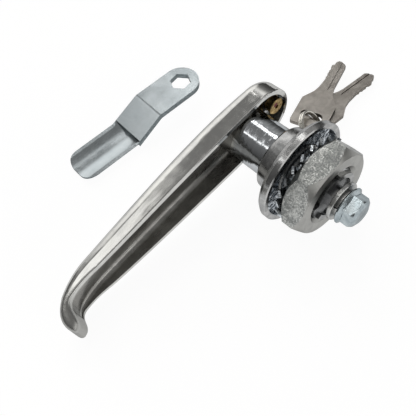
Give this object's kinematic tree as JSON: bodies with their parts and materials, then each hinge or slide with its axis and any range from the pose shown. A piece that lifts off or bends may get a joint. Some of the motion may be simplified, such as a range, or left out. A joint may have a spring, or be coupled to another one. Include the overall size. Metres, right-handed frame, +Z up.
{
  "type": "swing handle lock",
  "caption": "Chrome L-handle lock with key cylinder in the lever's head, round rosette, threaded stem with hexagon nut, offset cam and keys on a split ring.",
  "frame": {"origin": "centre of the rosette's rear seating rim, on the shaft axis, in the panel's outer face", "axes": "+Y along the shaft into the cabinet, -Y towards the hand, +Z up from the floor it lies on, lever towards +X"},
  "size_m": [0.1679, 0.1133, 0.042],
  "materials": {
    "rosette_chrome": "bright chrome over zinc casting, fine casting waviness",
    "handle_chrome": "bright chrome over zinc casting, satin inside the hollow",
    "nut_zinc": "satin zinc-nickel, turned faces",
    "washer_zinc": "zinc plated steel",
    "spindle_steel": "turned steel",
    "stop_steel": "darker machined steel",
    "bolt_zinc": "bluish zinc plate",
    "cam_zinc": "bluish zinc plate, rolled sheet",
    "cylinder_brass": "turned brass",
    "key_nickel": "nickel plated, tumbled",
    "ring_steel": "nickel plated spring wire",
    "spring_steel": "hardened steel",
    "seal_rubber": "black nitrile rubber"
  },
  "bodies": {
    "base": {"base_rosette": "rosette_chrome", "tooth_washer": "washer_zinc", "mounting_nut": "nut_zinc", "loose_cam": "cam_zinc", "key_rear": "key_nickel", "key_front": "key_nickel", "key_ring": "ring_steel"},
    "handle": {"handle": "handle_chrome", "spindle": "spindle_steel", "cross_pin": "spindle_steel", "sealing_ring": "seal_rubber", "stop_washer": "stop_steel", "plain_washer": "washer_zinc", "spring_washer": "washer_zinc", "cam_bolt": "bolt_zinc", "detent_ball": "spring_steel", "detent_spring": "spring_steel", "cylinder_sleeve": "cylinder_brass"},
    "plug": {"cylinder_plug": "cylinder_brass", "plug_wafers": "cylinder_brass", "plug_clip": "spring_steel"},
    "lock_bolt": {"lock_bolt": "stop_steel"}
  },
  "joints": [
    {"name": "handle_swing", "type": "hinge", "parent": "base", "child": "handle", "pos_m": [0, 0, 0], "axis": [0, -1, 0], "range_deg": [0, 90]},
    {"name": "plug_turn", "type": "hinge", "parent": "handle", "child": "plug", "pos_m": [-0.01575, -0.03, 0.00218], "axis": [0, -1, 0], "range_deg": [0, 90]},
    {"name": "lock_bolt_slide", "type": "slide", "parent": "handle", "child": "lock_bolt", "axis": [0, 1, 0], "range_m": [0, 0.0015]}
  ],
  "couplings": [
    {"joint": "plug_turn", "follows": "lock_bolt_slide", "rad_per_m": 1047.2}
  ]
}
